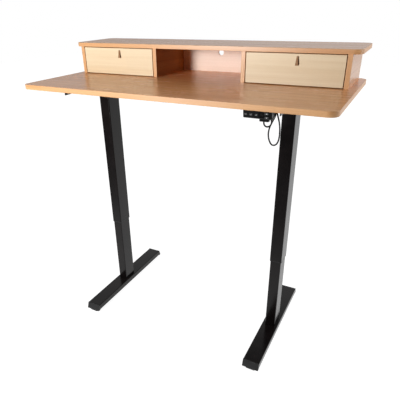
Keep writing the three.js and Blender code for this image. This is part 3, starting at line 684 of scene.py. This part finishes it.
def makeTab(side, plan):
    node = f"drawer_tab_{side}"
    low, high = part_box(node)
    middle, width, thick = (low[0] + high[0]) / 2, high[0] - low[0], plan["thick"]
    rims = (-width / 2, width / 2, -thick / 2, thick / 2)
    section = roundedOutline(*rims, plan["corner"], plan["cornerSteps"])
    path = tabPath(low, high, plan)
    rings, travel, run = [], [], 0.0
    for i, point in enumerate(path):
        ahead = (path[min(i + 1, len(path) - 1)] - path[max(i - 1, 0)]).normalized()
        across = Vector((0, -ahead[2], ahead[1]))
        run += (point - path[i - 1]).length if i else 0
        travel.append(run)
        drop = min(1, max(0, (high[2] - point[2]) / (high[2] - low[2])))
        narrow = (plan["neck"] + (width - plan["neck"]) * drop) / width
        rings.append([point + Vector((middle + a * narrow, 0, 0)) + across * b for a, b in section])
    mesh = meshFromRings(rings)
    layer = mesh.uv_layers.new(name="grain")
    for polygon in mesh.polygons:
        for loop, vertex in zip(polygon.loop_indices, polygon.vertices):
            layer.data[loop].uv = (travel[vertex // len(section)], mesh.vertices[vertex].co[0] - middle)
    makePiece(mesh, f"drawer_{side}", [tabLeather], node)


for side in sides:
    makeTab(side, tabPlan)


# A mesh with the object's modifiers applied
def bakeObject(holder, *helpers):
    view = bpy.context.evaluated_depsgraph_get()
    baked = holder.evaluated_get(view)
    mesh = bpy.data.meshes.new_from_object(baked, preserve_all_data_layers=True, depsgraph=view)
    for thing in (holder, *helpers):
        bpy.data.objects.remove(thing)
    return mesh


# Small repeated pieces by geometry nodes
def bakeTree(points, tree, inputs):
    seed = bpy.data.meshes.new("points")
    seed.from_pydata(points, [], [])
    holder = addObject("points", seed)
    modifier = holder.modifiers.new("repeat", "NODES")
    modifier.node_group = tree
    for item in tree.interface.items_tree:
        if item.item_type == "SOCKET" and item.in_out == "INPUT" and item.name in inputs:
            modifier[item.identifier] = inputs[item.name]
    holder.update_tag()
    return bakeObject(holder)


def geometryTree(name, inputs):
    inputs = {"Geometry": "Geometry", **inputs, "Material": "Material"}
    return newTree("GeometryNodeTree", name, inputs, {"Geometry": "Geometry"})


def putOnPoints(tree, points, instance, inputs=None):
    inputs = {"Points": points, "Instance": instance, **(inputs or {})}
    return addNode(tree, "GeometryNodeInstanceOnPoints", inputs)[0]


def closeTree(tree, given, out, geometry):
    real = addNode(tree, "GeometryNodeRealizeInstances", {0: geometry})[0]
    inputs = {0: real, "Material": given["Material"]}
    feed(tree, out, {0: addNode(tree, "GeometryNodeSetMaterial", inputs)[0]})
    return tree


# Pan head with a cross recess, standing on each point along Direction
headPlan = dict(sides=20, domeRise=0.35, crownSize=0.72, barReach=1.15, barWidth=2.0, recessLevel=0.75)


def screwTree(plan):
    inputs = {"Radius": "Float", "Height": "Float", "Recess": "Float", "Direction": "Vector"}
    tree, given, out = geometryTree("screwHeads", inputs)
    inputs = {"Vertices": plan["sides"], "Radius": given["Radius"], "Depth": given["Height"]}
    disc = addNode(tree, "GeometryNodeMeshCylinder", inputs, fill_type="NGON")
    dome = addNode(tree, "GeometryNodeExtrudeMesh", {
        "Mesh": disc["Mesh"], "Selection": disc["Top"],
        "Offset Scale": times(tree, given["Height"], plan["domeRise"]),
    })
    inputs = {"Geometry": dome["Mesh"], "Selection": dome["Top"], "Scale": plan["crownSize"]}
    crown = addNode(tree, "GeometryNodeScaleElements", inputs)[0]
    arms = tree.nodes.new("GeometryNodeJoinGeometry")
    long = times(tree, given["Radius"], plan["barReach"])
    short = times(tree, given["Recess"], plan["barWidth"])
    for reach, width in ((long, short), (short, long)):
        size = addNode(tree, "ShaderNodeCombineXYZ", {0: reach, 1: width, 2: given["Height"]})[0]
        feed(tree, arms.inputs, {0: addNode(tree, "GeometryNodeMeshCube", {"Size": size})["Mesh"]})
    lift = addNode(tree, "ShaderNodeCombineXYZ", {2: times(tree, given["Height"], plan["recessLevel"])})[0]
    cross = addNode(tree, "GeometryNodeTransform", {"Geometry": arms.outputs[0], "Translation": lift})[0]
    inputs = {"Mesh 1": crown, "Mesh 2": cross}
    cut = addNode(tree, "GeometryNodeMeshBoolean", inputs, operation="DIFFERENCE")[0]
    turn = addNode(tree, "FunctionNodeAlignRotationToVector", {"Vector": given["Direction"]}, axis="Z")[0]
    return closeTree(tree, given, out, putOnPoints(tree, given["Geometry"], cut, {"Rotation": turn}))


# Rounded stitches at even steps from each point
def stitchTree():
    tree, given, out = geometryTree("stitchRow", {"Count": "Int", "Step": "Vector", "Size": "Vector"})
    inputs = {"Count": given["Count"], "Offset": given["Step"]}
    row = addNode(tree, "GeometryNodeMeshLine", inputs, mode="OFFSET")[0]
    ball = addNode(tree, "GeometryNodeMeshUVSphere", {"Segments": 8, "Rings": 6, "Radius": 0.5})["Mesh"]
    shaped = addNode(tree, "GeometryNodeTransform", {"Geometry": ball, "Scale": given["Size"]})[0]
    rows = putOnPoints(tree, given["Geometry"], putOnPoints(tree, row, shaped))
    return closeTree(tree, given, out, rows)


# Rolled thread: a coil with a trapezoid ridge on a core
def threadTree():
    inputs = {"Turns": "Float", "Radius": "Float", "Length": "Float", "Ridge": "Float"}
    tree, given, out = geometryTree("rolledThread", inputs)
    coil = addNode(tree, "GeometryNodeCurveSpiral", {
        "Resolution": 14, "Rotations": given["Turns"], "Start Radius": given["Radius"],
        "End Radius": given["Radius"], "Height": given["Length"],
    })[0]
    inputs = {"Resolution": 4, "Radius": given["Ridge"]}
    ridge = addNode(tree, "GeometryNodeCurvePrimitiveCircle", inputs, mode="RADIUS")[0]
    inputs = {"Curve": coil, "Profile Curve": ridge, "Fill Caps": True}
    winding = addNode(tree, "GeometryNodeCurveToMesh", inputs)[0]
    return closeTree(tree, given, out, putOnPoints(tree, given["Geometry"], winding))


screwHeads, stitchRow, rolledThread = screwTree(headPlan), stitchTree(), threadTree()

stitchPlan = dict(rows=(0.003, 0.0065), count=3, step=0.0015, size=(0.0011, 0.0004, 0.0004))
for side in sides:
    low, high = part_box(f"drawer_tab_{side}")
    first = (low[0] + high[0]) / 2 - stitchPlan["step"] * (stitchPlan["count"] - 1) / 2
    face = high[1] - 2 * tabPlan["thick"] - 2 * tabPlan["cushion"]
    mesh = bakeTree([(first, face, high[2] - drop) for drop in stitchPlan["rows"]], stitchRow, {
        "Count": stitchPlan["count"], "Step": (stitchPlan["step"], 0.0, 0.0), "Size": stitchPlan["size"],
        "Material": waxedThread,
    })
    makePiece(mesh, f"drawer_{side}", [waxedThread], name="tabStitches" + side.capitalize())
print("desk: leather tabs made")

# Columns: tubes, spindles and drives
columnPlan = dict(
    outerRadius=0.004, innerRadius=0.0035, wall=0.0015, arris=0.0003, spindleCore=0.0069,
    spindleRidge=0.0011, threadPitch=0.004, neckRadius=0.006, tipRadius=0.0055, threadStart=0.002,
    threadTail=0.004, threadSet=0.003, chamfer=0.001, rodSides=24, spindleSharp=30,
)
drivePlan = dict(
    gearLength=0.062, corner=0.003, arris=0.0015, flangeRadius=0.023, flangeLength=0.004,
    radius=0.0208, seamStart=0.008, seamEnd=0.011, seamDepth=0.0008, slope=0.0005,
    ribCount=5, ribStart=0.052, ribPitch=0.006, ribWidth=0.0025, ribDepth=0.0007,
    endChamfer=0.002, capRadius=0.0075, capDepth=0.001, hubRadius=0.003,
)


def lathe(profile, start, axis, steps=48):
    ahead = Vector(axis).normalized()
    aside = ahead.orthogonal().normalized()
    around = ahead.cross(aside)
    angles = [2 * math.pi * i / steps for i in range(steps)]
    turns = [aside * math.cos(angle) + around * math.sin(angle) for angle in angles]
    rings = [[Vector(start) + ahead * along + turn * radius for turn in turns] for along, radius in profile]
    return meshFromRings(rings)


# Rounded gearbox with a flanged and ribbed motor lying inwards
def makeDrive(side, way, plan):
    node = f"drive_{side}"
    low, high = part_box(node)
    outer, tip = (high[0], low[0]) if way > 0 else (low[0], high[0])
    inner = outer - way * plan["gearLength"]
    boxLow = Vector((min(inner, outer), low[1], low[2]))
    boxHigh = Vector((max(inner, outer), high[1], high[2]))
    gearbox = meshFromRings(slabRings(boxLow, boxHigh, "y", plan["corner"], plan["arris"]))
    reach, radius, slope = abs(inner - tip), plan["radius"], plan["slope"]
    rim, thick, seam = plan["flangeRadius"], plan["flangeLength"], radius - plan["seamDepth"]
    start, end = plan["seamStart"], plan["seamEnd"]
    width, groove = plan["ribWidth"], radius - plan["ribDepth"]
    profile = [(-thick, rim - slope), (0, rim), (thick - slope, rim), (thick, rim - slope)]
    profile += [(thick + slope, radius), (start, radius), (start + slope, seam), (end - slope, seam)]
    profile += [(end, radius)]
    for i in range(plan["ribCount"]):
        at = plan["ribStart"] + i * plan["ribPitch"]
        profile += [(at, radius), (at + slope, groove), (at + width, groove), (at + width + slope, radius)]
    cut, cap, dish = plan["endChamfer"], plan["capRadius"], reach - plan["capDepth"]
    profile += [(reach - 2 * cut, radius), (reach - cut / 2, radius - cut / 2), (reach, radius - cut)]
    profile += [(reach, cap), (dish, cap - slope), (dish, plan["hubRadius"])]
    middle = (low + high) / 2
    motor = lathe(profile, (inner, middle[1], middle[2]), (-way, 0, 0))
    makePiece(joinMeshes(gearbox, motor), "top", [paints["blackHousing"]], node)


def makeSpindle(side, plan):
    node = f"spindle_{side}"
    low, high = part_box(node)
    middle = (low + high) / 2
    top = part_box(f"drive_{side}")[0][2] - plan["threadSet"]
    core, neck, chamfer = plan["spindleCore"], plan["neckRadius"], plan["chamfer"]
    length = top - low[2] - plan["threadTail"]
    thread = bakeTree([(middle[0], middle[1], low[2] + plan["threadStart"])], rolledThread, {
        "Turns": length / plan["threadPitch"], "Radius": core, "Length": length,
        "Ridge": plan["spindleRidge"], "Material": zincSteel,
    })
    rise, reach = high[2] - low[2], top - low[2]
    profile = [(0, plan["tipRadius"]), (chamfer, core), (reach, core)]
    profile += [(reach + chamfer, neck), (rise - chamfer, neck), (rise, neck - chamfer)]
    rod = lathe(profile, (middle[0], middle[1], low[2]), (0, 0, 1), plan["rodSides"])
    makePiece(joinMeshes(thread, rod), node, [zincSteel], node, sharp=plan["spindleSharp"])


def makeTube(node, body, axis, plan, radius):
    mesh = meshFromRings(tubeRings(*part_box(node), axis, radius, plan["wall"], plan["arris"]), wrap=True)
    makePiece(mesh, body, [paints["blackSteel"]], node)


for side, way in (("left", -1), ("right", 1)):
    makeTube(f"outer_tube_{side}", "top", "z", columnPlan, columnPlan["outerRadius"])
    makeTube(f"inner_tube_{side}", f"leg_{side}", "z", columnPlan, columnPlan["innerRadius"])
    makeSpindle(side, columnPlan)
    makeDrive(side, way, drivePlan)
print("desk: columns made")

# Feet with sloped caps and levelling pads
footPlan = dict(
    radius=0.003, wall=0.002, arris=0.0003, capArris=0.0012, capSteps=3, crown=0.004, lip=0.008,
    padCorner=0.005, padArris=0.001, padInset=0.014, padSet=0.010, padLength=0.034, padGap=0.0003,
)


def capMesh(node, foot, way, plan):
    low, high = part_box(node)
    footLow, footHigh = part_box(foot)
    face, toe = (footHigh[1], high[1]) if way > 0 else (footLow[1], low[1])
    lip, top = plan["lip"], high[2]
    outline = [(face, lip), (toe, lip), (face + way * plan["crown"], top), (face, top)]
    bm = bmesh.new()
    skinRings(bm, [[(x, y, z) for y, z in outline] for x in (low[0], high[0])])
    free = [edge for edge in bm.edges if any(abs(vertex.co[1] - face) > 1e-6 for vertex in edge.verts)]
    sizes = {"offset": plan["capArris"], "segments": plan["capSteps"], "profile": 0.5}
    bmesh.ops.bevel(bm, geom=free, affect="EDGES", **sizes)
    padStart = face - plan["padSet"] if way < 0 else face + plan["padSet"] - plan["padLength"]
    padLow = Vector((low[0] + plan["padInset"], padStart, 0.0))
    padTop = footLow[2] - plan["padGap"]
    padHigh = Vector((high[0] - plan["padInset"], padStart + plan["padLength"], padTop))
    pad = meshFromRings(slabRings(padLow, padHigh, "z", plan["padCorner"], plan["padArris"]))
    return joinMeshes(finishMesh(bm), pad)


for side in sides:
    foot, leg = f"foot_{side}", f"leg_{side}"
    makeTube(foot, leg, "y", footPlan, footPlan["radius"])
    for end, way in (("front", -1), ("rear", 1)):
        node = f"foot_cap_{side}_{end}"
        makePiece(capMesh(node, foot, way, footPlan), leg, [paints["blackNylon"]], node)
print("desk: feet made")

# Handset: housing with wells, glass over an unlit display, buttons with generic marks
handsetPlan = dict(
    height=0.025, round=0.006, roundSteps=8, lean=0.003, endArris=0.0012, endSteps=3, play=0.0003,
    mouth=0.004, well=0.008, wellCorner=0.0011, windowCorner=0.0009, wellArris=0.0001, bossAcross=0.049,
    bossBack=0.008, bossSize=(0.030, 0.016, 0.0115), bossCorner=0.004, bossArris=0.0012,
)
handsetLow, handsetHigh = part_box("handset")


def handsetMesh(low, high, plan):
    bottom, top, front, back, r = high[2] - plan["height"], high[2], low[1], high[1], plan["round"]
    outline = [(front, top)]
    for centre, start in ((front + plan["lean"] + r, 1), (back - r, 1.5)):
        for i in range(plan["roundSteps"] + 1):
            angle = math.pi * (start + 0.5 * i / plan["roundSteps"])
            outline.append((centre + r * math.cos(angle), bottom + r + r * math.sin(angle)))
    outline.append((back, top))
    rings = []
    for inset, x in rimLevels(low[0], high[0], plan["endArris"], plan["endSteps"]):
        ring = []
        for y, z in outline:
            inwards = math.copysign(inset, (front + back) / 2 - y) if abs(z - bottom) > 1e-5 else 0
            ring.append((x, y + inwards, z + (inset if z < bottom + r else 0)))
        rings.append(ring)
    bossLow = Vector((low[0] + plan["bossAcross"], front + plan["bossBack"], low[2]))
    bossHigh = bossLow + Vector(plan["bossSize"])
    boss = slabRings(bossLow, bossHigh, "z", plan["bossCorner"], plan["bossArris"])
    return meshFromRings(rings), meshFromRings(boss)


def wellBox(low, high, depth, corner, plan):
    play = plan["play"]
    start = Vector((low[0] - play, low[1] - plan["mouth"], low[2] - play))
    return start, Vector((high[0] + play, depth, high[2] + play)), corner


def cutWells(shell, boxes, plan):
    holder = addObject("handsetHolder", shell)
    cutters = []
    for number, (low, high, corner) in enumerate(boxes):
        mesh = meshFromRings(slabRings(low, high, "y", corner, plan["wellArris"], 3, 1))
        cutters.append(addObject(f"wellCutter{number}", mesh))
        cut = holder.modifiers.new(f"well{number}", "BOOLEAN")
        cut.operation, cut.solver, cut.object = "DIFFERENCE", "EXACT", cutters[-1]
    return bakeObject(holder, *cutters)


buttonBoxes = {name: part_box(name) for name in nodes if name.startswith("button_")}
windowLow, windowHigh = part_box("handset_window")
wells = []
for low, high in buttonBoxes.values():
    slant = handsetPlan["lean"] * (handsetHigh[2] - (low[2] + high[2]) / 2) / handsetPlan["height"]
    floorDepth = handsetLow[1] + slant + handsetPlan["well"]
    wells.append(wellBox(low, high, floorDepth, handsetPlan["wellCorner"], handsetPlan))
wells.append(wellBox(windowLow, windowHigh, windowHigh[1], handsetPlan["windowCorner"], handsetPlan))
shell, boss = handsetMesh(handsetLow, handsetHigh, handsetPlan)
handset = joinMeshes(cutWells(shell, wells, handsetPlan), boss)
makePiece(handset, "top", [paints["blackHousing"]], "handset", "handsetHousing")


# Flat marks that take the second material of their piece
def flatShapes(shapes, depth, place):
    bm = bmesh.new()
    for shape in shapes:
        skinRings(bm, [[(x, y, z) for x, z in shape] for y in (0, depth)])
    mesh = finishMesh(bm)
    mesh.transform(Matrix.Translation(place))
    for polygon in mesh.polygons:
        polygon.material_index = 1
    return mesh


def segmentDigit(x, z, width, height, thick, lit):
    right, top, middle, cut = x + width, z + height, z + height / 2, thick * 0.2
    left, inner, half = x + thick, x + width - thick, thick / 2
    places = {
        "a": (left, top - thick, inner, top), "g": (left, middle - half, inner, middle + half),
        "d": (left, z, inner, z + thick), "f": (x, middle, left, top - half),
        "b": (inner, middle, right, top - half), "e": (x, z + half, left, middle - cut),
        "c": (inner, z + half, right, middle - cut),
    }
    bars = [places[letter] for letter in lit]
    return [[(x0, z0), (x1, z0), (x1, z1), (x0, z1)] for x0, z0, x1, z1 in bars]


markPlan = dict(
    digits={"1": (0.0016, "bc"), "2": (0.002, "abged"), "3": (0.002, "abgcd")}, height=0.0032, thick=0.0005,
    depth=0.00012, sink=0.000012, capCorner=0.0009, capArris=0.0005, cornerSteps=4,
)
displayPlan = dict(
    count=3, start=0.0026, pitch=0.0039, foot=0.0045, width=0.0029, height=0.0052, thick=0.0005,
    depth=0.0001, proud=0.00002, corner=0.0008, arris=0.0002, tones=((40, 37, 38), (48, 45, 46)),
)
markShapes = {
    "button_up": [[(-0.0022, -0.0011), (0.0022, -0.0011), (0, 0.0015)]],
    "button_down": [[(-0.0022, 0.0011), (0, -0.0015), (0.0022, 0.0011)]],
}
for digit, (width, lit) in markPlan["digits"].items():
    spot = (-width / 2, -markPlan["height"] / 2, width, markPlan["height"], markPlan["thick"])
    markShapes[f"button_memory_{digit}"] = segmentDigit(*spot, lit)
for name, (low, high) in buttonBoxes.items():
    rings = slabRings(low, high, "y", markPlan["capCorner"], markPlan["capArris"], markPlan["cornerSteps"])
    place = ((low[0] + high[0]) / 2, low[1] - markPlan["sink"], (low[2] + high[2]) / 2)
    mesh = joinMeshes(meshFromRings(rings), flatShapes(markShapes[name], markPlan["depth"], place))
    makePiece(mesh, name, [paints["buttonPlastic"], paints["markPaint"]], name)

rings = slabRings(windowLow, windowHigh, "y", displayPlan["corner"], displayPlan["arris"], 4, 2)
digits = []
for number in range(displayPlan["count"]):
    start = displayPlan["start"] + number * displayPlan["pitch"]
    spot = (start, displayPlan["foot"], displayPlan["width"], displayPlan["height"], displayPlan["thick"])
    digits += segmentDigit(*spot, "abcdefg")
place = (windowLow[0], windowLow[1] - displayPlan["proud"], windowLow[2])
window = joinMeshes(meshFromRings(rings), flatShapes(digits, displayPlan["depth"], place))
unlit = paintMaterial("unlitSegments", dict(paintLooks["blackHousing"], tones=displayPlan["tones"]))
makePiece(window, "top", [darkWindow, unlit], "handset_window")
print("desk: handset made")

# Screws under the worktop, on the control box and on the gearboxes
boxLow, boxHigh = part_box("control_box")
boxInset, recessShare = 0.008, 0.11
screwPlan = dict(
    armScrews=dict(
        across=(-0.385, 0.385), along=(-0.225, -0.12, 0.09, 0.215), face=1.0375, drop=0.5,
        radius=0.0042, height=0.0022,
    ),
    boxScrews=dict(
        across=(boxLow[0] + boxInset, boxHigh[0] - boxInset), face=boxLow[2], drop=0.4,
        along=(boxLow[1] + boxInset, boxHigh[1] - boxInset), radius=0.0026, height=0.0014,
    ),
    gearScrews=dict(
        across=(-0.372, 0.372), along=(-0.048, 0.024), face=0.99, drop=0.4, radius=0.0026, height=0.0014,
    ),
)
for name, plan in screwPlan.items():
    level = plan["face"] - plan["height"] * plan["drop"]
    mesh = bakeTree([(x, y, level) for x in plan["across"] for y in plan["along"]], screwHeads, {
        "Radius": plan["radius"], "Height": plan["height"], "Recess": plan["radius"] * recessShare,
        "Direction": (0.0, 0.0, -1.0), "Material": zincSteel,
    })
    makePiece(mesh, "top", [zincSteel], name=name)
print("desk: screws made")

# Floor, lamps and the pale surround
floorPlan = dict(
    tone=0.25, rough=0.9, specular=0.1, reach=9.0, below=-0.0004, lift=(0.6, 2.4, 0.93, 1.0),
    gleam=(-1.3, -0.2, 0.02, 0.9),
)
# Each range of heading with the strengths at its ends
surroundPlan = dict(
    shine=(-0.25, 0.25, 0.08, 0.84), shineUp=(0.62, 0.74, 1.0, 0.1), shineLeft=(-0.65, -0.25, 0.8, 1.0),
    fill=(-0.5, 0.5, 0.03, 0.45),
)


def seenDirectly(tree, path):
    return calc(tree, "MAXIMUM", path["Is Camera Ray"], path["Is Transmission Ray"])


def makeFloor(plan):
    side, below, pale = plan["reach"], plan["below"], plan["tone"]
    mesh = bpy.data.meshes.new("floor")
    corners = [(x * side, y * side, below) for x, y in ((-1, -1), (1, -1), (1, 1), (-1, 1))]
    mesh.from_pydata(corners, [], [(0, 1, 2, 3)])
    floor = addObject("floor", mesh)
    material, tree, shader = newMaterial("paleFloor", {
        "Base Color": (pale, pale, pale, 1), "Roughness": plan["rough"],
        "Specular IOR Level": plan["specular"],
    })
    path = addNode(tree, "ShaderNodeLightPath")
    spot = objectVector(tree)
    out = addNode(tree, "ShaderNodeVectorMath", {0: spot}, operation="LENGTH")["Value"]
    mirrored = times(tree, path["Is Glossy Ray"], spread(tree, partOf(tree, spot, 1), *plan["gleam"]))
    strength = plus(tree, times(tree, seenDirectly(tree, path), spread(tree, out, *plan["lift"])), mirrored)
    lift = addNode(tree, "ShaderNodeEmission", {"Strength": strength})[0]
    both = addNode(tree, "ShaderNodeAddShader", {0: shader.outputs[0], 1: lift})[0]
    clear = addNode(tree, "ShaderNodeBsdfTransparent")[0]
    under = addNode(tree, "ShaderNodeNewGeometry")["Backfacing"]
    whole = addNode(tree, "ShaderNodeMixShader", {0: under, 1: both, 2: clear})[0]
    feed(tree, tree.nodes["Material Output"].inputs, {"Surface": whole})
    mesh.materials.append(material)
    floor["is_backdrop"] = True


def makeSurround(plan):
    scene.world = bpy.data.worlds.new("studio")
    scene.world.use_nodes = True
    tree = scene.world.node_tree
    path = addNode(tree, "ShaderNodeLightPath")
    heading = addNode(tree, "ShaderNodeTexCoord")["Generated"]
    x, y, z = (partOf(tree, heading, number) for number in range(3))
    shine = times(tree, spread(tree, y, *plan["shine"]), spread(tree, z, *plan["shineUp"]))
    shine = times(tree, shine, spread(tree, x, *plan["shineLeft"]))
    inputs = {0: path["Is Glossy Ray"], 2: spread(tree, y, *plan["fill"]), 3: shine}
    glossy = addNode(tree, "ShaderNodeMix", inputs)[0]
    inputs = {0: seenDirectly(tree, path), 2: glossy, 3: 1.0}
    strength = addNode(tree, "ShaderNodeMix", inputs)[0]
    feed(tree, tree.nodes["Background"].inputs, {"Color": (1, 1, 1, 1), "Strength": strength})


lampPlan = dict(
    frontKey=dict(place=(-0.71, -2.15, 1.4), aim=(-0.9, 0, 1.1), size=(0.5, 0.72), power=58),
    edgeStrip=dict(place=(-0.97, -2.15, 0.78), aim=(0.1, 0, 1.1), size=(0.35, 0.6), power=9),
    rightSide=dict(place=(2.6, 0.6, 1.5), aim=(0.6, 0, 1.1), size=(0.7, 0.7), power=32),
)


def makeLamp(name, plan):
    light = bpy.data.lights.new(name, "AREA")
    light.shape = "ELLIPSE"
    light.size, light.size_y = plan["size"]
    light.energy = plan["power"]
    lamp = addObject(name, light)
    lamp.location = plan["place"]
    lamp.rotation_euler = (Vector(plan["aim"]) - Vector(plan["place"])).to_track_quat("-Z", "Y").to_euler()


makeFloor(floorPlan)
makeSurround(surroundPlan)
for name, plan in lampPlan.items():
    makeLamp(name, plan)
print("desk: studio made")

low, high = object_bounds()
